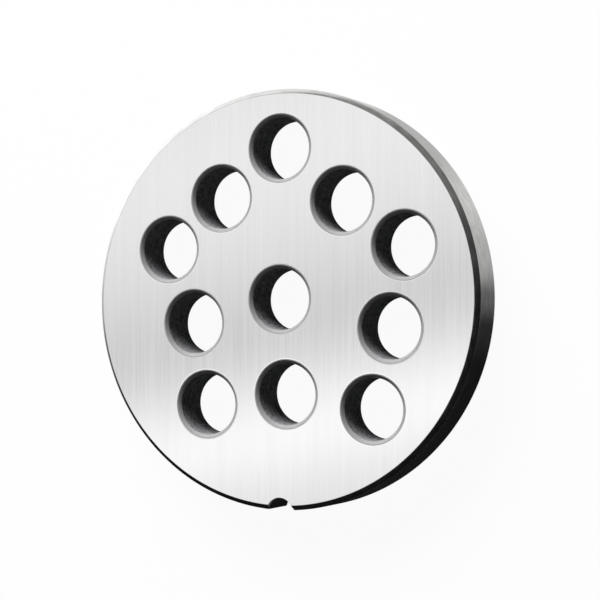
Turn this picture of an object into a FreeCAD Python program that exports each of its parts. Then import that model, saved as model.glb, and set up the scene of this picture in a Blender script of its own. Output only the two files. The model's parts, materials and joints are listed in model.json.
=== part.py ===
import FreeCAD, Part
import os
import Sketcher

# Meat grinder plate, type 22: one steel disc that is turned, drilled and ground.
#
# The plate lies flat. Its axis is +Z and the origin is the centre of the rear face,
# so the rear face is at height 0 and the ground front face, where the knife runs,
# is at plate_thickness. The locating notch is at -Y.
#
# All lengths are in millimetres, and all angles in degrees from +X, turning towards +Y.

SIZES = {
    "plate_diameter": 82.0,
    "plate_thickness": 9.0,
    # Edge breaks of the rim, both at 45 degrees.
    "front_chamfer": 0.95,
    "rear_chamfer": 0.3,
    # The knife shaft's pin turns in the centre bore.
    "center_bore": 12.0,
    "center_countersink": 0.6,
    # The meat holes share one drill, and one countersink on both faces.
    "meat_bore": 12.0,
    "meat_countersink": 0.6,
    # The full angle of the tool that countersinks all the holes.
    "countersink_angle": 90.0,
    # The half-round notch is cut by a round tool whose axis stands just outside the rim.
    "notch_radius": 2.75,
    "notch_outset": 0.3,
}

# The outer five of the ten meat holes: how far each axis is from the rim, and its direction.
OUTER_HOLES = {
    "top": {"rim_distance": 11.6, "angle": 90.0},
    "right": {"rim_distance": 13.1, "angle": 21.0},
    "bottom_right": {"rim_distance": 12.2, "angle": -47.1},
    "bottom_left": {"rim_distance": 14.9, "angle": -127.8},
    "left": {"rim_distance": 14.3, "angle": 157.6},
}

# The inner five, which sit between them: how far each axis is from the plate's, and its direction.
INNER_HOLES = {
    "upper_right": {"reach": 23.0, "angle": 54.7},
    "lower_right": {"reach": 23.9, "angle": -13.6},
    "bottom": {"reach": 18.5, "angle": -85.7},
    "lower_left": {"reach": 19.5, "angle": -166.4},
    "upper_left": {"reach": 23.8, "angle": 122.6},
}


def fill_sheet(doc):
    """Write every driving size into one spreadsheet, one row a size."""
    sheet = doc.addObject("Spreadsheet::Sheet", "Sizes")
    rows = dict(SIZES)
    for holes in (OUTER_HOLES, INNER_HOLES):
        for name, place in holes.items():
            for key, value in place.items():
                rows[name + "_" + key] = value
    for row, (name, value) in enumerate(rows.items(), start=1):
        sheet.set("A%d" % row, name)
        sheet.set("B%d" % row, str(value))
        sheet.setAlias("B%d" % row, name)
    doc.recompute()


def origin_plane(body, role):
    """Return one of the body's own origin planes."""
    for feature in body.Origin.OriginFeatures:
        if feature.Role == role:
            return feature
    raise ValueError("no origin plane " + role)


def new_sketch(body, name, role, height=None):
    """Put an empty sketch on one of the body's origin planes, or at a height above it."""
    sketch = body.newObject("Sketcher::SketchObject", name)
    sketch.AttachmentSupport = [(origin_plane(body, role), "")]
    sketch.MapMode = "FlatFace"
    if height:
        sketch.setExpression("AttachmentOffset.Base.z", height)
    return sketch


def bind(sketch, constraint, formula):
    """Add a constraint and let the spreadsheet drive its value."""
    index = sketch.addConstraint(constraint)
    sketch.setExpression("Constraints[%d]" % index, formula)


def add_circle(sketch, center, diameter, formula):
    """Add a circle whose diameter the spreadsheet drives."""
    circle = sketch.addGeometry(
        Part.Circle(center, FreeCAD.Vector(0, 0, 1), diameter / 2), False)
    bind(sketch, Sketcher.Constraint("Diameter", circle, diameter), formula)
    return circle


def turned_section(body):
    """Sketch the half section of the turned disc, from its axis out to the rim."""
    sketch = new_sketch(body, "turned_section", "XZ_Plane")
    radius = SIZES["plate_diameter"] / 2
    thickness = SIZES["plate_thickness"]
    front = SIZES["front_chamfer"]
    rear = SIZES["rear_chamfer"]
    # Each corner as its radius and height, and the formulas that drive them.
    corners = [
        (0, 0, None, None),
        (radius - rear, 0, "Sizes.plate_diameter / 2 - Sizes.rear_chamfer", None),
        (radius, rear, "Sizes.plate_diameter / 2", "Sizes.rear_chamfer"),
        (radius, thickness - front, "Sizes.plate_diameter / 2",
         "Sizes.plate_thickness - Sizes.front_chamfer"),
        (radius - front, thickness, "Sizes.plate_diameter / 2 - Sizes.front_chamfer",
         "Sizes.plate_thickness"),
        (0, thickness, None, "Sizes.plate_thickness"),
    ]
    count = len(corners)
    for i in range(count):
        start = FreeCAD.Vector(corners[i][0], corners[i][1], 0)
        end = FreeCAD.Vector(corners[(i + 1) % count][0], corners[(i + 1) % count][1], 0)
        sketch.addGeometry(Part.LineSegment(start, end), False)
    for i in range(count):
        sketch.addConstraint(Sketcher.Constraint("Coincident", i, 2, (i + 1) % count, 1))
    for i, (reach, height, reach_formula, height_formula) in enumerate(corners):
        if reach_formula:
            bind(sketch, Sketcher.Constraint("DistanceX", -1, 1, i, 1, reach), reach_formula)
        else:
            sketch.addConstraint(Sketcher.Constraint("PointOnObject", i, 1, -2))
        if height_formula:
            bind(sketch, Sketcher.Constraint("DistanceY", -1, 1, i, 1, height), height_formula)
        else:
            sketch.addConstraint(Sketcher.Constraint("PointOnObject", i, 1, -1))
    return sketch


def center_layout(body):
    """Sketch the centre bore on the front face."""
    sketch = new_sketch(body, "center_layout", "XY_Plane", "Sizes.plate_thickness")
    circle = add_circle(sketch, FreeCAD.Vector(), SIZES["center_bore"], "Sizes.center_bore")
    sketch.addConstraint(Sketcher.Constraint("Coincident", circle, 3, -1, 1))
    return sketch


def add_meat_hole(sketch, name, reach, angle, reach_formula):
    """Add one meat hole at the end of its own spoke."""
    turn = FreeCAD.Rotation(FreeCAD.Vector(0, 0, 1), angle)
    center = turn.multVec(FreeCAD.Vector(reach, 0, 0))
    spoke = sketch.addGeometry(Part.LineSegment(FreeCAD.Vector(), center), True)
    circle = add_circle(sketch, center, SIZES["meat_bore"], "Sizes.meat_bore")
    sketch.addConstraint(Sketcher.Constraint("Coincident", spoke, 1, -1, 1))
    sketch.addConstraint(Sketcher.Constraint("Coincident", spoke, 2, circle, 3))
    bind(sketch, Sketcher.Constraint("Distance", spoke, reach), reach_formula)
    direction = FreeCAD.Units.Quantity(angle, FreeCAD.Units.Angle)
    bind(sketch, Sketcher.Constraint("Angle", spoke, direction), "Sizes.%s_angle * 1 deg" % name)


def meat_layout(body):
    """Sketch the ten meat holes on the front face."""
    sketch = new_sketch(body, "meat_layout", "XY_Plane", "Sizes.plate_thickness")
    for name, place in OUTER_HOLES.items():
        reach = SIZES["plate_diameter"] / 2 - place["rim_distance"]
        add_meat_hole(sketch, name, reach, place["angle"],
                      "Sizes.plate_diameter / 2 - Sizes.%s_rim_distance" % name)
    for name, place in INNER_HOLES.items():
        add_meat_hole(sketch, name, place["reach"], place["angle"], "Sizes.%s_reach" % name)
    return sketch


def notch_outline(body):
    """Sketch the round tool that cuts the notch at the rim."""
    sketch = new_sketch(body, "notch_outline", "XY_Plane", "Sizes.plate_thickness")
    reach = SIZES["plate_diameter"] / 2 + SIZES["notch_outset"]
    circle = add_circle(sketch, FreeCAD.Vector(0, -reach, 0), 2 * SIZES["notch_radius"],
                        "2 * Sizes.notch_radius")
    sketch.addConstraint(Sketcher.Constraint("PointOnObject", circle, 3, -2))
    bind(sketch, Sketcher.Constraint("DistanceY", circle, 3, -1, 1, reach),
         "Sizes.plate_diameter / 2 + Sizes.notch_outset")
    return sketch


def drill(body, name, layout, bore, countersink):
    """Drill a layout's circles right through from the front face, and countersink them there."""
    hole = body.newObject("PartDesign::Hole", name)
    hole.Profile = layout
    body.Document.recompute()
    hole.DepthType = "ThroughAll"
    hole.DrillPoint = "Flat"
    hole.HoleCutType = "Countersink"
    hole.setExpression("HoleCutCountersinkAngle", "Sizes.countersink_angle * 1 deg")
    hole.setExpression("Diameter", "Sizes." + bore)
    hole.setExpression("HoleCutDiameter", "Sizes.%s + 2 * Sizes.%s" % (bore, countersink))
    body.Document.recompute()
    return hole


def grinder_plate(doc):
    """Turn the disc, drill and countersink it from both faces, and cut the notch."""
    body = doc.addObject("PartDesign::Body", "grinder_plate")
    body.Label = "grinder_plate"

    blank = body.newObject("PartDesign::Revolution", "turned_blank")
    section = turned_section(body)
    blank.Profile = section
    blank.ReferenceAxis = (section, ["V_Axis"])
    blank.Angle = 360
    doc.recompute()

    center_hole = drill(body, "center_hole", center_layout(body),
                        "center_bore", "center_countersink")
    meat_holes = drill(body, "meat_holes", meat_layout(body), "meat_bore", "meat_countersink")

    # The rear face is drilled as the front face is, so its holes are their mirror image.
    middle = body.newObject("PartDesign::Plane", "middle_plane")
    middle.AttachmentSupport = [(origin_plane(body, "XY_Plane"), "")]
    middle.MapMode = "FlatFace"
    middle.setExpression("AttachmentOffset.Base.z", "Sizes.plate_thickness / 2")
    rear_holes = body.newObject("PartDesign::Mirrored", "rear_holes")
    rear_holes.Originals = [center_hole, meat_holes]
    rear_holes.MirrorPlane = (middle, [""])
    body.Tip = rear_holes
    doc.recompute()

    notch = body.newObject("PartDesign::Pocket", "key_notch")
    notch.Profile = notch_outline(body)
    notch.Type = "ThroughAll"
    doc.recompute()
    return body


def check(doc, pieces):
    """Stop before anything is written if a feature failed, a cut missed or a solid is unsound."""
    for item in doc.Objects:
        if "Invalid" in item.State or "Error" in item.State:
            raise RuntimeError("%s failed: %s" % (item.Name, item.State))
    for piece in pieces:
        features = [item for item in piece.Group if item.isDerivedFrom("PartDesign::Feature")]
        for before, after in zip(features, features[1:]):
            if not after.Shape.Volume < before.Shape.Volume:
                raise RuntimeError(after.Name + " removed nothing")
        if piece.Shape.isNull() or not piece.Shape.isValid() or len(piece.Shape.Solids) != 1:
            raise RuntimeError(piece.Label + " is not one valid solid")


def main():
    doc = FreeCAD.newDocument("GrinderPlate")
    fill_sheet(doc)
    pieces = [grinder_plate(doc)]
    doc.recompute()
    check(doc, pieces)
    os.makedirs("parts", exist_ok=True)
    for piece in pieces:
        piece.Shape.exportStep(os.path.join("parts", piece.Label + ".step"))
        box = piece.Shape.BoundBox
        print("%s volume %.1f mm3, box x %.3f..%.3f y %.3f..%.3f z %.3f..%.3f" % (
            piece.Label, piece.Shape.Volume,
            box.XMin, box.XMax, box.YMin, box.YMax, box.ZMin, box.ZMax))


main()
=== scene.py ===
import json
import math

import bmesh
import bpy
from mathutils import Matrix, Vector


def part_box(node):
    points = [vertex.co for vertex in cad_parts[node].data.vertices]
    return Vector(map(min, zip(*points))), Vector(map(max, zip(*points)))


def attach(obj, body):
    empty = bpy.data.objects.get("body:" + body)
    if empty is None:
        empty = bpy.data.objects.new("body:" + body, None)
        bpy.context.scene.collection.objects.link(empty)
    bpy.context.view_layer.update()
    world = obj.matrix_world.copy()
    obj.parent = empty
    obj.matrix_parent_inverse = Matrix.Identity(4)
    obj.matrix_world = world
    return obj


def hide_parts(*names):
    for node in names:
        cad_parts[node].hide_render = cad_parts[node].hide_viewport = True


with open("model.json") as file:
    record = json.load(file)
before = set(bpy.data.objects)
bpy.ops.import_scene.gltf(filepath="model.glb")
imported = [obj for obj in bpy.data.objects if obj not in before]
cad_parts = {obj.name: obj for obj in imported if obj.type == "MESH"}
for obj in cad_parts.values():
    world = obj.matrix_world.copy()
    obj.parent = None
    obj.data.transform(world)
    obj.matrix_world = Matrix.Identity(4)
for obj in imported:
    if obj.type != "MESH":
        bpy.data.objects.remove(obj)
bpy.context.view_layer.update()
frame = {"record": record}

bl_info = {
    "name": "Meat Grinder Plate",
    "version": (1, 0, 0),
    "blender": (4, 5, 0),
    "location": "View3D > Sidebar > Grinder Plate",
    "description": "Builds a perforated meat grinder plate, its steel finishes and its studio",
    "category": "Object",
}

# The plate as the frame gives it. All places are in metres.
MM = 0.001
NODE = "grinder_plate"
MOUNTS = {mount["name"]: mount for mount in frame["record"]["mounts"]}
OPENINGS = frame["record"]["physics"]["openings"]
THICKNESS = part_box(NODE)[1][2]
PLATE_RADIUS = MOUNTS["rim"]["dims"]["r_mm"] * MM
BORE_RADIUS = MOUNTS["center_bore"]["dims"]["r_mm"] * MM
NOTCH_REACH = -MOUNTS["key_notch"]["pos_m"][1]

# Which finish each stretch of the surface has, as the tree stores it.
GROUND = 0
COUNTERSINK = 1
BORE = 2
RIM = 3
NOTCH = 4

# What the mesh carries for its materials: each face's finish, and each wall's place in its hole.
FINISH_MARK = "finish"
HOLE_PLACE = "hole_place"

# Points closer than this, in metres, are welded. A normal whose Z is longer than this is upright.
WELD = 1e-6
UPRIGHT = 0.9995

# Cells of the steel's patterns a metre. The ground lines and the bores' grain go along X, Y and Z,
# and the others go along the way round, outwards and up.
GROUND_LINES = (3600.0, 45.0, 45.0)
GROUND_STREAKS = (620.0, 14.0, 14.0)
TURNED_RINGS = (40.0, 5200.0, 5200.0)
TURNED_CLOUDS = (420.0, 900.0, 900.0)
SINK_RINGS = (60.0, 6500.0, 6500.0)
SINK_CLOUDS = (500.0, 900.0, 900.0)
BORE_GRAIN = (1700.0, 1700.0, 1700.0)
BORE_RINGS = (200.0, 1800.0, 1800.0)

# The floor, the lamp, and the cards that the steel sees round the plate.
FLOOR_REACH = 3.0
LAMP_PLACE = (-0.36, 0.93, 0.5)
LAMP_SIZE = (1.0, 0.6)
SOFTBOX_HEIGHT = 1.0
SOFTBOX_REACH = 1.2
SOFTBOX_SLANT = -0.2
WALL_REACH = 0.6
WALL_HEIGHT = 0.6
FLAG_REACH = 0.055
FLAG_HEIGHT = 0.022
FLAG_SPAN = (-145.0, 42.0)
# The two floor cards are painted shading of the floor, seen only in the steel: painted shadow on the
# side away from the lamp, and painted light on the lamp's side.
PAINTED_FLOOR_SHADING_HEIGHT = 0.00005
PAINTED_FLOOR_SHADING_EDGES = (0.0365, 0.046, 0.6)

# Brightness along each card, from pairs of place and strength. The softbox's places are metres
# towards +Y, and the others' are degrees from +X towards +Y.
SOFTBOX_GRADE = (
    (-0.65, 0.35), (-0.2, 0.8), (-0.042, 0.88), (0.017, 1.41), (0.048, 0.98), (0.087, 0.57),
    (0.165, 0.92), (0.247, 1.06), (0.31, 0.9), (0.6, 1.0))
WALL_GRADE = (
    (-180.0, 0.4), (-90.0, 0.28), (0.0, 0.22), (45.0, 0.24), (65.0, 0.26), (83.0, 0.37),
    (100.0, 0.36), (116.0, 0.48), (140.0, 0.8), (165.0, 0.6), (180.0, 0.4))
FLAG_GRADE = (
    (-145.0, 0.005), (-4.0, 0.005), (20.0, 0.08), (34.0, 0.22), (42.0, 0.24))
# The floor cards' grades: painted shadow from about -154 to 0 degrees, and painted light, above 1,
# from about 105 to 155 degrees.
NEAR_PAINTED_FLOOR_SHADING = (
    (-180.0, 0.68), (-169.0, 0.2), (-154.0, 0.015), (-141.0, 0.006), (-70.0, 0.01), (-20.0, 0.01),
    (-8.0, 0.03), (0.0, 0.165), (10.0, 0.6), (28.0, 0.86), (45.0, 0.63), (60.0, 0.59),
    (75.0, 0.92), (105.0, 1.33), (141.0, 1.58), (155.0, 1.5), (168.0, 1.0), (180.0, 0.68))
FAR_PAINTED_FLOOR_SHADING = (
    (-180.0, 0.68), (-169.0, 0.2), (-154.0, 0.015), (-135.0, 0.01), (-110.0, 0.2), (-20.0, 0.2),
    (0.0, 0.4), (20.0, 0.8), (45.0, 0.65), (60.0, 0.6), (75.0, 0.92), (105.0, 1.31),
    (115.0, 1.46), (141.0, 1.55), (155.0, 1.5), (168.0, 1.0), (180.0, 0.68))

# Between the first two heights, a card turns from its grade to the even strength given third.
WALL_RISE = (0.28, 0.6, 0.7)
FLAG_RISE = (0.0165, 0.0225, 0.4)


def length(name, description, default):
    """A length that shows in the panel."""
    return bpy.props.FloatProperty(name=name, description=description, default=default,
                                   subtype="DISTANCE", unit="LENGTH", precision=5)


def shade(name, description, default):
    """A colour that shows in the panel, linear."""
    return bpy.props.FloatVectorProperty(name=name, description=description, default=default,
                                         subtype="COLOR", size=3, min=0.0, max=1.0)


def amount(name, description, default):
    """A plain number that shows in the panel."""
    return bpy.props.FloatProperty(name=name, description=description, default=default)


class PlateSizes(bpy.types.PropertyGroup):
    """The plate's sizes. The frame gives the main ones."""

    plate_radius: length("Plate radius", "Rim's radius", PLATE_RADIUS)
    thickness: length("Thickness", "From the rear face to the front face", THICKNESS)
    front_chamfer: length("Front chamfer", "Edge break of the rim at the front face", 0.95 * MM)
    rear_chamfer: length("Rear chamfer", "Edge break of the rim at the rear face", 0.3 * MM)
    bore_radius: length("Bore radius", "Radius of all eleven bores", BORE_RADIUS)
    countersink: length("Countersink", "Depth and width of each hole's countersink", 0.6 * MM)
    notch_radius: length("Notch radius", "Radius of the locating notch", 2.75 * MM)
    notch_reach: length("Notch reach", "From the plate's axis to the notch's", NOTCH_REACH)
    edge_radius: length("Edge radius", "Fine rounding of the rim's and the notch's edges", 0.07 * MM)
    edge_steps: bpy.props.IntProperty(
        name="Edge steps", description="Facets across the fine rounding", default=3, min=1)
    lip_radius: length("Lip radius", "Rounding where a countersink meets face and bore", 0.5 * MM)
    lip_steps: bpy.props.IntProperty(
        name="Lip steps", description="Facets across each rounding of a countersink",
        default=6, min=1)
    hole_sides: bpy.props.IntProperty(
        name="Hole sides", description="Facets round each hole", default=128, min=12)
    rim_sides: bpy.props.IntProperty(
        name="Rim sides", description="Facets round the rim", default=720, min=24)
    notch_sides: bpy.props.IntProperty(
        name="Notch sides", description="Facets round the notch", default=32, min=4)


class SteelFinish(bpy.types.PropertyGroup):
    """Colours of the plate's steel, as ground, turned, countersunk and drilled."""

    ground_color: shade("Ground steel", "The two ground faces", (0.85, 0.85, 0.85))
    turned_color: shade("Turned steel", "The rim and its edge breaks", (0.58, 0.578, 0.57))
    cut_color: shade("Countersink steel", "The countersinks", (0.3, 0.3, 0.3))
    drilled_color: shade("Drilled steel", "The scaled walls of the bores", (0.19, 0.192, 0.197))


class Studio(bpy.types.PropertyGroup):
    """Floor, light and camera."""

    floor_color: shade("Floor", "The plain floor", (0.8, 0.8, 0.8))
    floor_glow: amount("Floor glow", "Share of the floor that is seen as plain white", 0.95)
    fill_light: amount("Fill light", "What the white world gives from all round", 0.02)
    key_light: amount("Key light", "Watts of the soft lamp on the +Y side", 32.0)
    camera_distance: length("Camera distance", "From the middle of the front face", 345.0 * MM)
    camera_tilt: amount("Camera tilt", "Degrees off the plate's axis", 26.24)
    camera_swing: amount("Camera swing", "Degrees from +X towards +Y", -2.79)
    camera_focal: amount("Focal length", "In millimetres, on the sensor below", 106.57)
    camera_sensor: amount("Sensor", "Width in millimetres", 36.0)
    aim_right: length("Aim right", "From the axis to the picture's middle, along X", 4.41 * MM)
    aim_up: length("Aim up", "From the axis to the picture's middle, along Y", -0.23 * MM)


def node(tree, kind, inputs=None, **settings):
    """Add a node, set it up and fill its inputs with values or with other nodes' sockets."""
    made = tree.nodes.new(kind)
    for key, value in settings.items():
        setattr(made, key, value)
    for key, value in (inputs or {}).items():
        if isinstance(value, bpy.types.NodeSocket):
            tree.links.new(value, made.inputs[key])
        else:
            made.inputs[key].default_value = value
    return made


def math_of(tree, kind, operation, *values):
    """Add one math node and return its result."""
    made = node(tree, kind, dict(enumerate(values)), operation=operation)
    return made.outputs[0]


def number(tree, operation, *values):
    """Reckon with lengths, angles and shares."""
    return math_of(tree, "ShaderNodeMath", operation, *values)


def whole(tree, operation, *values):
    """Reckon with whole numbers."""
    return math_of(tree, "FunctionNodeIntegerMath", operation, *values)


def compared(tree, operation, first, second):
    """Compare two lengths."""
    return node(tree, "FunctionNodeCompare", {0: first, 1: second}, operation=operation).outputs[0]


def same(tree, first, second):
    """Whether two whole numbers are the same. Compare's sockets share names, so places serve."""
    return node(tree, "FunctionNodeCompare", {2: first, 3: second},
                data_type="INT", operation="EQUAL").outputs[0]


def both(tree, first, second):
    """Whether two tests hold together."""
    return node(tree, "FunctionNodeBooleanMath", {0: first, 1: second}, operation="AND").outputs[0]


def point(tree, x, y, z):
    """Make a place from three numbers."""
    return node(tree, "ShaderNodeCombineXYZ", {0: x, 1: y, 2: z}).outputs[0]


def split(tree, place):
    """Take a place apart, as outputs named X, Y and Z."""
    return node(tree, "ShaderNodeSeparateXYZ", {0: place}).outputs


def where(tree):
    """Where each point of the geometry is."""
    return node(tree, "GeometryNodeInputPosition").outputs[0]


def new_tree(name, inputs):
    """Start a geometry tree with named inputs, and return it with its input node."""
    tree = bpy.data.node_groups.new(name, "GeometryNodeTree")
    tree.interface.new_socket(name="Geometry", in_out="OUTPUT", socket_type="NodeSocketGeometry")
    for label, kind in inputs.items():
        tree.interface.new_socket(name=label, in_out="INPUT", socket_type=kind)
    return tree, node(tree, "NodeGroupInput")


def store_finish(tree, geometry, finish, selection=True):
    """Mark faces with their finish."""
    return node(tree, "GeometryNodeStoreNamedAttribute",
                {"Geometry": geometry, "Selection": selection, "Name": FINISH_MARK,
                 "Value": finish},
                data_type="INT", domain="FACE").outputs[0]


def hole_wall_tree():
    """Turn the wall of one through hole: bore, two countersinks and their rounded lips."""
    tree, given = new_tree("countersunk hole", {
        "Bore Radius": "NodeSocketFloat",
        "Countersink": "NodeSocketFloat",
        "Lip Radius": "NodeSocketFloat",
        "Thickness": "NodeSocketFloat",
        "Sides": "NodeSocketInt",
        "Lip Steps": "NodeSocketInt",
    })
    bore, sink, lip, front, sides, steps = list(given.outputs)[:6]
    mouth = number(tree, "ADD", bore, sink)
    rim = number(tree, "ADD", mouth, lip)
    bore_top = number(tree, "SUBTRACT", front, sink)
    corners = [(rim, front), (mouth, front), (bore, bore_top),
               (bore, sink), (mouth, 0.0), (rim, 0.0)]

    pick = node(tree, "GeometryNodeIndexSwitch", data_type="VECTOR")
    while len(pick.index_switch_items) < len(corners):
        pick.index_switch_items.new()
    tree.links.new(node(tree, "GeometryNodeInputIndex").outputs[0], pick.inputs[0])
    for i, (reach, height) in enumerate(corners):
        tree.links.new(point(tree, reach, 0.0, height), pick.inputs[i + 1])

    line = node(tree, "GeometryNodeMeshLine", {"Count": len(corners)})
    line = node(tree, "GeometryNodeSetPosition",
                {"Geometry": line.outputs[0], "Position": pick.outputs[0]})
    section = node(tree, "GeometryNodeMeshToCurve", {"Mesh": line.outputs[0]})
    section = node(tree, "GeometryNodeFilletCurve",
                   {"Curve": section.outputs[0], "Count": steps, "Radius": lip,
                    "Limit Radius": True}, mode="POLY")
    rows = node(tree, "GeometryNodeAttributeDomainSize", {"Geometry": section.outputs[0]},
                component="CURVE").outputs["Point Count"]

    # Columns of the grid go round the hole, and its rows run down the section.
    grid = node(tree, "GeometryNodeMeshGrid",
                {"Vertices X": whole(tree, "ADD", sides, 1), "Vertices Y": rows})
    index = node(tree, "GeometryNodeInputIndex").outputs[0]
    row = whole(tree, "MODULO", index, rows)
    column = whole(tree, "DIVIDE_FLOOR", index, rows)
    sample = node(tree, "GeometryNodeSampleIndex",
                  {"Geometry": section.outputs[0], "Value": where(tree), "Index": row},
                  data_type="FLOAT_VECTOR", domain="POINT")
    corner = split(tree, sample.outputs[0])
    turn = number(tree, "MULTIPLY", number(tree, "DIVIDE", column, sides), math.tau)
    place = point(tree,
                  number(tree, "MULTIPLY", corner["X"], number(tree, "COSINE", turn)),
                  number(tree, "MULTIPLY", corner["X"], number(tree, "SINE", turn)),
                  corner["Z"])
    wall = node(tree, "GeometryNodeSetPosition",
                {"Geometry": grid.outputs[0], "Position": place}).outputs[0]

    height = split(tree, where(tree))["Z"]
    inside = both(tree, compared(tree, "GREATER_THAN", height, sink),
                  compared(tree, "LESS_THAN", height, bore_top))
    wall = node(tree, "GeometryNodeSetShadeSmooth", {"Geometry": wall}).outputs[0]
    wall = store_finish(tree, wall, COUNTERSINK)
    wall = store_finish(tree, wall, BORE, inside)
    # The flat rings at both ends belong to the ground faces.
    facing = split(tree, node(tree, "GeometryNodeInputNormal").outputs[0])["Z"]
    flat = compared(tree, "GREATER_THAN", number(tree, "ABSOLUTE", facing), UPRIGHT)
    wall = store_finish(tree, wall, GROUND, flat)
    wall = node(tree, "GeometryNodeStoreNamedAttribute",
                {"Geometry": wall, "Name": HOLE_PLACE, "Value": where(tree)},
                data_type="FLOAT_VECTOR", domain="POINT").outputs[0]
    node(tree, "NodeGroupOutput", {0: wall})
    return tree


def perforation_tree(materials):
    """Drill the rim's ring: a wall at each loose point, and two faces that join walls and rim."""
    tree, given = new_tree("perforated plate", {
        "Geometry": "NodeSocketGeometry",
        "Bore Radius": "NodeSocketFloat",
        "Countersink": "NodeSocketFloat",
        "Lip Radius": "NodeSocketFloat",
        "Thickness": "NodeSocketFloat",
        "Sides": "NodeSocketInt",
        "Lip Steps": "NodeSocketInt",
    })
    ring, bore, sink, lip, thickness, sides, steps = list(given.outputs)[:7]
    loose = same(tree, node(tree, "GeometryNodeInputMeshVertexNeighbors").outputs[0], 0)
    parted = node(tree, "GeometryNodeSeparateGeometry", {"Geometry": ring, "Selection": loose},
                  domain="POINT")
    # The points' own marks would pass to every wall, so they come off first.
    axes = node(tree, "GeometryNodeRemoveAttribute",
                {"Geometry": parted.outputs[0], "Name": FINISH_MARK}).outputs[0]
    band = parted.outputs[1]

    wall = node(tree, "GeometryNodeGroup", node_tree=hole_wall_tree())
    for i, value in enumerate((bore, sink, lip, thickness, sides, steps)):
        tree.links.new(value, wall.inputs[i])
    walls = node(tree, "GeometryNodeInstanceOnPoints",
                 {"Points": axes, "Instance": wall.outputs[0]}).outputs[0]

    mouth = number(tree, "ADD", number(tree, "ADD", bore, sink), lip)
    circle = node(tree, "GeometryNodeCurvePrimitiveCircle",
                  {"Resolution": sides, "Radius": mouth}, mode="RADIUS")
    mouths = node(tree, "GeometryNodeInstanceOnPoints",
                  {"Points": axes, "Instance": circle.outputs[0]}).outputs[0]
    mouths = node(tree, "GeometryNodeRealizeInstances", {0: mouths}).outputs[0]

    height = split(tree, where(tree))["Z"]
    middle = number(tree, "MULTIPLY", thickness, 0.5)
    open_edge = same(tree, node(tree, "GeometryNodeInputMeshEdgeNeighbors").outputs[0], 1)
    faces = []
    for level, above in ((thickness, True), (0.0, False)):
        beyond = compared(tree, "GREATER_THAN" if above else "LESS_THAN", height, middle)
        outline = node(tree, "GeometryNodeMeshToCurve",
                       {"Mesh": band, "Selection": both(tree, open_edge, beyond)})
        joined = node(tree, "GeometryNodeJoinGeometry")
        tree.links.new(mouths, joined.inputs[0])
        tree.links.new(outline.outputs[0], joined.inputs[0])
        face = node(tree, "GeometryNodeFillCurve", {"Curve": joined.outputs[0]}, mode="TRIANGLES")
        face = node(tree, "GeometryNodeSetPosition",
                    {"Geometry": face.outputs[0], "Offset": point(tree, 0.0, 0.0, level)}).outputs[0]
        if not above:
            face = node(tree, "GeometryNodeFlipFaces", {"Mesh": face}).outputs[0]
        face = store_finish(tree, face, GROUND)
        face = node(tree, "GeometryNodeSetShadeSmooth",
                    {"Geometry": face, "Shade Smooth": False}).outputs[0]
        faces.append(face)

    plate = node(tree, "GeometryNodeJoinGeometry")
    for part in (walls, band, *faces):
        tree.links.new(part, plate.inputs[0])
    result = node(tree, "GeometryNodeRealizeInstances", {0: plate.outputs[0]}).outputs[0]
    result = node(tree, "GeometryNodeMergeByDistance",
                  {"Geometry": result, "Distance": WELD}).outputs[0]
    finish = node(tree, "GeometryNodeInputNamedAttribute", {"Name": FINISH_MARK},
                  data_type="INT").outputs[0]
    for value, material in materials.items():
        result = node(tree, "GeometryNodeSetMaterial",
                      {"Geometry": result, "Selection": same(tree, finish, value),
                       "Material": material}).outputs[0]
    node(tree, "NodeGroupOutput", {0: result})
    return tree


def rounded(corners, radius, steps):
    """Round the inner corners of an open section with short arcs."""
    points = [Vector(corners[0])]
    for before, here, after in zip(corners, corners[1:], corners[2:]):
        corner = Vector(here)
        back = (Vector(before) - corner).normalized()
        ahead = (Vector(after) - corner).normalized()
        half = back.angle(ahead) / 2
        center = corner + (back + ahead).normalized() * radius / math.sin(half)
        start = corner + back * radius / math.tan(half) - center
        swing = math.copysign(math.pi - 2 * half, ahead.cross(back))
        for step in range(steps + 1):
            points.append(center + Matrix.Rotation(swing * step / steps, 2) @ start)
    points.append(Vector(corners[-1]))
    return points


def level_outline(radius, notch, sizes):
    """Outline of the plate at one level: round the rim, then back round the notch."""
    reach = sizes.notch_reach
    # The two corners are where the rim's circle and the notch's cross.
    corner_y = (notch ** 2 - radius ** 2 - reach ** 2) / (2 * reach)
    corner_x = math.sqrt(radius ** 2 - corner_y ** 2)
    start = math.atan2(corner_y, corner_x)
    sweep = math.tau - 2 * (start + math.pi / 2)
    places = []
    for i in range(sizes.rim_sides):
        turn = start + sweep * i / sizes.rim_sides
        places.append((radius * math.cos(turn), radius * math.sin(turn)))
    start = math.atan2(corner_y + reach, -corner_x)
    sweep = 2 * (math.pi / 2 - start)
    for i in range(sizes.notch_sides):
        turn = start + sweep * i / sizes.notch_sides
        places.append((notch * math.cos(turn), notch * math.sin(turn) - reach))
    return places


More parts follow.
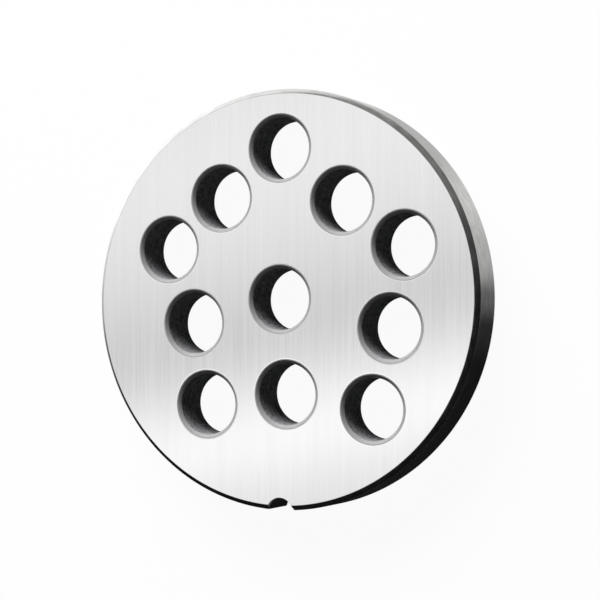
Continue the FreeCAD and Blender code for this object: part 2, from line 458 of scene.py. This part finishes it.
def build_ring(sizes):
    """Make the rim's turned band with its notch, and a loose point at each hole's axis."""
    radius = sizes.plate_radius
    front = sizes.thickness
    edge = sizes.edge_radius
    section = rounded([
        (radius - sizes.front_chamfer - edge, front),
        (radius - sizes.front_chamfer, front),
        (radius, front - sizes.front_chamfer),
        (radius, sizes.rear_chamfer),
        (radius - sizes.rear_chamfer, 0.0),
        (radius - sizes.rear_chamfer - edge, 0.0),
    ], edge, sizes.edge_steps)

    mesh = bmesh.new()
    finish = mesh.faces.layers.int.new(FINISH_MARK)
    rows = []
    for reach, height in section:
        # Next to the two faces the notch widens, because its edges are rounded.
        depth = max(0.0, min(front - height, height, edge))
        notch = sizes.notch_radius + edge - math.sqrt(edge ** 2 - (edge - depth) ** 2)
        rows.append([mesh.verts.new((x, y, height))
                     for x, y in level_outline(reach, notch, sizes)])
    count = len(rows[0])
    for upper, lower in zip(rows, rows[1:]):
        for i in range(count):
            j = (i + 1) % count
            face = mesh.faces.new((upper[i], lower[i], lower[j], upper[j]))
            face.smooth = True
            face[finish] = RIM if i < sizes.rim_sides else NOTCH
    for opening in OPENINGS:
        low, high = opening["box_m"]
        mesh.verts.new(((low[0] + high[0]) / 2, (low[1] + high[1]) / 2, 0.0))
    mesh.verts.new((0.0, 0.0, 0.0))
    data = bpy.data.meshes.new("ring")
    mesh.to_mesh(data)
    mesh.free()
    return data


def new_material(name, color, metallic, roughness):
    """Start a material, and return it with its tree and its shader."""
    material = bpy.data.materials.new(name)
    material.use_nodes = True
    tree = material.node_tree
    tree.nodes.clear()
    shader = node(tree, "ShaderNodeBsdfPrincipled",
                  {"Base Color": (*color, 1.0), "Metallic": metallic, "Roughness": roughness})
    node(tree, "ShaderNodeOutputMaterial", {"Surface": shader.outputs[0]})
    return material, tree, shader


def own_place(tree):
    """Where a point is on its own object."""
    return node(tree, "ShaderNodeTexCoord").outputs["Object"]


def hole_place(tree):
    """Where a point is from the foot of its own hole's axis, unrolled round that axis."""
    place = node(tree, "ShaderNodeAttribute", attribute_name=HOLE_PLACE).outputs["Vector"]
    return round_axis(tree, place, BORE_RADIUS)


def stretched(tree, place, per_metre):
    """Scale a place, so that a pattern comes out drawn along the axis with the small number."""
    return node(tree, "ShaderNodeVectorMath", {0: place, 1: per_metre},
                operation="MULTIPLY").outputs[0]


def noise(tree, place, detail=2.0):
    """Smooth noise about 0.5, one cell a unit."""
    return node(tree, "ShaderNodeTexNoise",
                {"Vector": place, "Scale": 1.0, "Detail": detail}).outputs[0]


def blended(tree, first, second, share):
    """Mix two patterns, with that share of the first."""
    return number(tree, "ADD", number(tree, "MULTIPLY", first, share),
                  number(tree, "MULTIPLY", second, 1.0 - share))


def spread(tree, value, low, high):
    """Take noise's usual range to a range of one's own."""
    return node(tree, "ShaderNodeMapRange",
                {"Value": value, "From Min": 0.3, "From Max": 0.7, "To Min": low, "To Max": high},
                clamp=False).outputs[0]


def tinted(tree, shader, color, factor):
    """Make a colour lighter or darker by a factor, as the shader's base."""
    mixed = node(tree, "ShaderNodeVectorMath", {0: color, 3: factor}, operation="SCALE")
    tree.links.new(mixed.outputs[0], shader.inputs["Base Color"])


def scratched(tree, shader, height, depth):
    """Let a pattern of that depth in metres stand in the surface."""
    bump = node(tree, "ShaderNodeBump", {"Strength": 1.0, "Distance": depth, "Height": height})
    tree.links.new(bump.outputs[0], shader.inputs["Normal"])


def across(tree, shader, direction):
    """Spread the highlight in one direction, across the tool marks."""
    tree.links.new(point(tree, *direction), shader.inputs["Tangent"])


def round_axis(tree, place, radius):
    """Unroll a place round its axis: length along the circle, distance from the axis, height."""
    parts = split(tree, place)
    turn = number(tree, "ARCTAN2", parts["Y"], parts["X"])
    flat = stretched(tree, place, (1.0, 1.0, 0.0))
    reach = node(tree, "ShaderNodeVectorMath", {0: flat}, operation="LENGTH").outputs["Value"]
    return point(tree, number(tree, "MULTIPLY", turn, radius), reach, parts["Z"])


def ground_steel(finish):
    """Bright surface grinding: long fine lines along Y."""
    material, tree, shader = new_material("ground_face_steel", finish.ground_color,
                                          metallic=1.0, roughness=0.16)
    shader.inputs["Anisotropic"].default_value = 1.0
    place = own_place(tree)
    lines = noise(tree, stretched(tree, place, GROUND_LINES))
    streaks = noise(tree, stretched(tree, place, GROUND_STREAKS), detail=3.0)
    pattern = blended(tree, lines, streaks, share=0.6)
    tinted(tree, shader, finish.ground_color, spread(tree, pattern, low=0.955, high=1.035))
    tree.links.new(spread(tree, lines, low=0.145, high=0.175), shader.inputs["Roughness"])
    scratched(tree, shader, lines, depth=1e-7)
    across(tree, shader, (1.0, 0.0, 0.0))
    return material


def turned_steel(finish):
    """Lathe-turned rim: fine rings, a little uneven along the way round."""
    material, tree, shader = new_material("turned_rim_steel", finish.turned_color,
                                          metallic=1.0, roughness=0.16)
    shader.inputs["Anisotropic"].default_value = 0.4
    place = round_axis(tree, own_place(tree), PLATE_RADIUS)
    rings = noise(tree, stretched(tree, place, TURNED_RINGS))
    clouds = noise(tree, stretched(tree, place, TURNED_CLOUDS), detail=4.0)
    pattern = blended(tree, rings, clouds, share=0.4)
    tinted(tree, shader, finish.turned_color, spread(tree, pattern, low=0.72, high=1.2))
    tree.links.new(spread(tree, clouds, low=0.14, high=0.18), shader.inputs["Roughness"])
    scratched(tree, shader, rings, depth=3e-7)
    across(tree, shader, (0.0, 0.0, 1.0))
    return material


def countersink_steel(finish):
    """Countersinks: rings round each hole's own axis."""
    material, tree, shader = new_material("countersink_steel", finish.cut_color,
                                          metallic=0.1, roughness=0.3)
    shader.inputs["Specular IOR Level"].default_value = 0.32
    shader.inputs["Anisotropic"].default_value = 0.2
    place = hole_place(tree)
    rings = noise(tree, stretched(tree, place, SINK_RINGS))
    clouds = noise(tree, stretched(tree, place, SINK_CLOUDS), detail=4.0)
    pattern = blended(tree, rings, clouds, share=0.6)
    tinted(tree, shader, finish.cut_color, spread(tree, pattern, low=0.84, high=1.1))
    tree.links.new(spread(tree, clouds, low=0.26, high=0.34), shader.inputs["Roughness"])
    scratched(tree, shader, rings, depth=4e-7)
    across(tree, shader, (0.0, 0.0, 1.0))
    return material


def drilled_steel(finish):
    """Dark, dull walls with the grain that drilling and hardening leave."""
    material, tree, shader = new_material("drilled_steel", finish.drilled_color,
                                          metallic=0.0, roughness=0.75)
    shader.inputs["Specular IOR Level"].default_value = 0.0
    grain = noise(tree, stretched(tree, own_place(tree), BORE_GRAIN), detail=5.0)
    rings = noise(tree, stretched(tree, hole_place(tree), BORE_RINGS), detail=3.0)
    pattern = blended(tree, grain, rings, share=0.7)
    tinted(tree, shader, finish.drilled_color, spread(tree, pattern, low=0.3, high=1.6))
    scratched(tree, shader, pattern, depth=4e-5)
    return material


class GRINDERPLATE_OT_plate(bpy.types.Operator):
    """Build the plate, drill it and give each surface its steel"""

    bl_idname = "grinderplate.plate"
    bl_label = "Plate"

    def execute(self, context):
        sizes = context.scene.plate_sizes
        finish = context.scene.steel_finish
        turned = turned_steel(finish)
        materials = {
            GROUND: ground_steel(finish),
            COUNTERSINK: countersink_steel(finish),
            BORE: drilled_steel(finish),
            RIM: turned,
            NOTCH: turned,
        }
        plate = bpy.data.objects.new("perforated_plate", build_ring(sizes))
        context.collection.objects.link(plate)
        tree = perforation_tree(materials)
        modifier = plate.modifiers.new("Perforation", "NODES")
        modifier.node_group = tree
        values = {
            "Bore Radius": sizes.bore_radius,
            "Countersink": sizes.countersink,
            "Lip Radius": sizes.lip_radius,
            "Thickness": sizes.thickness,
            "Sides": sizes.hole_sides,
            "Lip Steps": sizes.lip_steps,
        }
        for item in tree.interface.items_tree:
            if item.in_out == "INPUT" and item.name in values:
                modifier[item.identifier] = values[item.name]
        # The widest faces decide the normals, so that the flat ones look flat up to their edges.
        normals = plate.modifiers.new("Face Normals", "WEIGHTED_NORMAL")
        normals.weight = 100
        graph = context.evaluated_depsgraph_get()
        mesh = bpy.data.meshes.new_from_object(plate.evaluated_get(graph), depsgraph=graph)
        # The tree's own primitives bring empty material slots with them.
        while None in mesh.materials[:]:
            mesh.materials.pop(index=mesh.materials[:].index(None))
        plate.modifiers.clear()
        plate.data = mesh
        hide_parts(NODE)
        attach(plate, "root")
        return {"FINISHED"}


def aimed(name, data, location, target, up=(0.0, 1.0, 0.0)):
    """Place a camera or lamp so that it looks at a point."""
    back = (Vector(location) - Vector(target)).normalized()
    right = Vector(up).cross(back).normalized()
    above = back.cross(right)
    turn = Matrix((right, above, back)).transposed().to_4x4()
    thing = bpy.data.objects.new(name, data)
    thing.matrix_world = Matrix.Translation(location) @ turn
    bpy.context.scene.collection.objects.link(thing)
    return thing


def soft_lamp(name, location, target, width, height, power):
    """Hang a soft lamp. The steel sees the cards in its stead."""
    data = bpy.data.lights.new(name, "AREA")
    data.shape = "RECTANGLE"
    data.size = width
    data.size_y = height
    data.energy = power
    lamp = aimed(name, data, location, target, (0.0, 0.0, 1.0))
    lamp.visible_glossy = False


def seen_plainly(tree):
    """1 for what the camera, metal and glass see, and 0 for the light that falls on things."""
    path = node(tree, "ShaderNodeLightPath").outputs
    return number(tree, "MAXIMUM", path["Is Camera Ray"],
                  number(tree, "MAXIMUM", path["Is Glossy Ray"], path["Is Transmission Ray"]))


def grey(strength):
    """A grey of that strength, as colour sockets take it."""
    return (strength, strength, strength, 1.0)


def studio_world(studio):
    """A world that lights softly and is seen as plain white."""
    world = bpy.data.worlds.new("studio")
    bpy.context.scene.world = world
    world.use_nodes = True
    tree = world.node_tree
    tree.nodes.clear()
    soft = node(tree, "ShaderNodeBackground", {"Color": grey(1.0), "Strength": studio.fill_light})
    white = node(tree, "ShaderNodeBackground", {"Color": grey(1.0), "Strength": 1.0})
    mixed = node(tree, "ShaderNodeMixShader",
                 {0: seen_plainly(tree), 1: soft.outputs[0], 2: white.outputs[0]})
    node(tree, "ShaderNodeOutputWorld", {"Surface": mixed.outputs[0]})


def floor_material(studio):
    """Pale floor that is seen as white, with a share of its true shading left in."""
    material, tree, shader = new_material("floor", studio.floor_color, metallic=0.0, roughness=1.0)
    shader.inputs["Specular IOR Level"].default_value = 0.0
    glow = node(tree, "ShaderNodeEmission", {"Color": grey(1.0), "Strength": 1.0})
    mixed = node(tree, "ShaderNodeMixShader",
                 {0: number(tree, "MULTIPLY", seen_plainly(tree), studio.floor_glow),
                  1: shader.outputs[0], 2: glow.outputs[0]})
    output = next(item for item in tree.nodes if item.type == "OUTPUT_MATERIAL")
    tree.links.new(mixed.outputs[0], output.inputs["Surface"])
    return material


def card_material(name, place_of, grade, rise=None):
    """A card's brightness: its grade along a line, and its rise, if it has one, in height."""
    material = bpy.data.materials.new(name)
    material.use_nodes = True
    tree = material.node_tree
    tree.nodes.clear()
    low = grade[0][0]
    high = grade[-1][0]
    along = node(tree, "ShaderNodeMapRange",
                 {"Value": place_of(tree), "From Min": low, "From Max": high}).outputs[0]
    ramp = node(tree, "ShaderNodeValToRGB", {0: along})
    ramp.color_ramp.interpolation = "EASE"
    elements = ramp.color_ramp.elements
    for place, _ in grade[1:-1]:
        elements.new((place - low) / (high - low))
    for element, (_, strength) in zip(elements, grade):
        element.color = grey(strength)
    color = ramp.outputs[0]
    if rise:
        bottom, top, strength = rise
        share = node(tree, "ShaderNodeMapRange",
                     {"Value": split(tree, own_place(tree))["Z"], "From Min": bottom,
                      "From Max": top}, interpolation_type="SMOOTHSTEP").outputs[0]
        # Mix's sockets share their names, so the colour ones go by their places.
        color = node(tree, "ShaderNodeMix", {"Factor": share, 6: color, 7: grey(strength)},
                     data_type="RGBA").outputs[2]
    glow = node(tree, "ShaderNodeEmission", {"Color": color, "Strength": 1.0})
    node(tree, "ShaderNodeOutputMaterial", {"Surface": glow.outputs[0]})
    return material


def card(name, places, faces, material):
    """A card that only shows in the steel."""
    data = bpy.data.meshes.new(name)
    data.from_pydata(places, [], faces)
    data.materials.append(material)
    thing = bpy.data.objects.new(name, data)
    thing.visible_camera = False
    thing.visible_diffuse = False
    thing.visible_shadow = False
    thing.visible_transmission = False
    bpy.context.collection.objects.link(thing)


def across_softbox(tree):
    """Place across the softbox, in metres towards +Y, with a slight slant."""
    place = split(tree, own_place(tree))
    return number(tree, "ADD", place["Y"], number(tree, "MULTIPLY", place["X"], SOFTBOX_SLANT))


def compass(tree):
    """Direction from the plate's axis, in degrees from +X towards +Y, from -180 to 180."""
    place = split(tree, own_place(tree))
    return number(tree, "DEGREES", number(tree, "ARCTAN2", place["Y"], place["X"]))


def round_card(name, section, grade, rise=None, span=(-180.0, 180.0), sides=180):
    """Sweep a section, pairs of distance and height, round the plate between two directions."""
    first, last = span
    places = []
    for i in range(sides + 1):
        turn = math.radians(first + (last - first) * i / sides)
        for reach, height in section:
            places.append((reach * math.cos(turn), reach * math.sin(turn), height))
    rows = len(section)
    faces = []
    for i in range(sides):
        for j in range(rows - 1):
            a = i * rows + j
            faces.append((a, a + rows, a + rows + 1, a + 1))
    card(name, places, faces, card_material(name, compass, grade, rise))


def square(reach, height):
    """Corners of a level square round the plate's axis."""
    return [(-reach, -reach, height), (reach, -reach, height),
            (reach, reach, height), (-reach, reach, height)]


def lay_floor(studio):
    """Lay the plain floor."""
    data = bpy.data.meshes.new("floor")
    data.from_pydata(square(FLOOR_REACH, 0.0), [], [(0, 1, 2, 3)])
    data.materials.append(floor_material(studio))
    floor = bpy.data.objects.new("floor", data)
    bpy.context.collection.objects.link(floor)


def hang_cards():
    """Hang what the steel sees."""
    # Overhead is one wide softbox, with a bright bar across it and a dim one beside that.
    card("softbox_card", square(SOFTBOX_REACH, SOFTBOX_HEIGHT), [(0, 3, 2, 1)],
         card_material("softbox_card", across_softbox, SOFTBOX_GRADE))
    # The walls are dimmer than the softbox, and lighter towards the top.
    round_card("wall_card", ((WALL_REACH, 0.0), (WALL_REACH, WALL_HEIGHT)), WALL_GRADE, WALL_RISE)
    # A low black flag beside the plate darkens the rim on the side away from the lamp.
    round_card("flag_card", ((FLAG_REACH, 0.0), (FLAG_REACH, FLAG_HEIGHT)), FLAG_GRADE,
               FLAG_RISE, FLAG_SPAN)
    # Two rings lying on the floor, seen only in the steel, paint the floor's shadow on the side away
    # from the lamp and a pool of light on the lamp's side. The rim sees the near ring low down and
    # the far one above it.
    level = PAINTED_FLOOR_SHADING_HEIGHT
    inner, middle, outer = PAINTED_FLOOR_SHADING_EDGES
    round_card("near_painted_floor_shading", ((inner, level), (middle, level)), NEAR_PAINTED_FLOOR_SHADING)
    round_card("far_painted_floor_shading", ((middle, level), (outer, level)), FAR_PAINTED_FLOOR_SHADING)


def aim_camera(studio, front):
    """Set up the camera, aimed at a point of the front face."""
    tilt = math.radians(studio.camera_tilt)
    swing = math.radians(studio.camera_swing)
    distance = studio.camera_distance
    location = (distance * math.sin(tilt) * math.cos(swing),
                distance * math.sin(tilt) * math.sin(swing),
                distance * math.cos(tilt) + front)
    lens = bpy.data.cameras.new("camera")
    lens.sensor_width = studio.camera_sensor
    lens.lens = studio.camera_focal
    lens.clip_start = 0.01
    bpy.context.scene.camera = aimed("camera", lens, location,
                                     (studio.aim_right, studio.aim_up, front))


class GRINDERPLATE_OT_studio(bpy.types.Operator):
    """Lay the floor, hang the lamp and the cards and set up the camera"""

    bl_idname = "grinderplate.studio"
    bl_label = "Studio"

    def execute(self, context):
        studio = context.scene.studio
        bpy.context.scene.view_settings.view_transform = "Standard"
        studio_world(studio)
        lay_floor(studio)
        soft_lamp("key_light", LAMP_PLACE, (0.0, 0.0, 0.0), *LAMP_SIZE, studio.key_light)
        hang_cards()
        aim_camera(studio, context.scene.plate_sizes.thickness)
        return {"FINISHED"}


class GRINDERPLATE_PT_panel(bpy.types.Panel):
    """Lists the sizes, finishes and studio settings, with buttons for the plate and the studio"""

    bl_idname = "GRINDERPLATE_PT_panel"
    bl_label = "Grinder Plate"
    bl_space_type = "VIEW_3D"
    bl_region_type = "UI"
    bl_category = "Grinder Plate"

    def draw(self, context):
        for group in (context.scene.plate_sizes, context.scene.steel_finish, context.scene.studio):
            box = self.layout.box()
            for name in group.__annotations__:
                box.prop(group, name)
        self.layout.operator("grinderplate.plate")
        self.layout.operator("grinderplate.studio")


CLASSES = (PlateSizes, SteelFinish, Studio, GRINDERPLATE_OT_plate, GRINDERPLATE_OT_studio,
           GRINDERPLATE_PT_panel)


def register():
    """Make the groups, operators and panel known."""
    for item in CLASSES:
        bpy.utils.register_class(item)
    bpy.types.Scene.plate_sizes = bpy.props.PointerProperty(type=PlateSizes)
    bpy.types.Scene.steel_finish = bpy.props.PointerProperty(type=SteelFinish)
    bpy.types.Scene.studio = bpy.props.PointerProperty(type=Studio)


def unregister():
    """Take them back."""
    del bpy.types.Scene.plate_sizes
    del bpy.types.Scene.steel_finish
    del bpy.types.Scene.studio
    for item in reversed(CLASSES):
        bpy.utils.unregister_class(item)


def main():
    """Build the plate and its studio."""
    register()
    bpy.ops.grinderplate.plate()
    bpy.ops.grinderplate.studio()


if __name__ == "__main__":
    main()
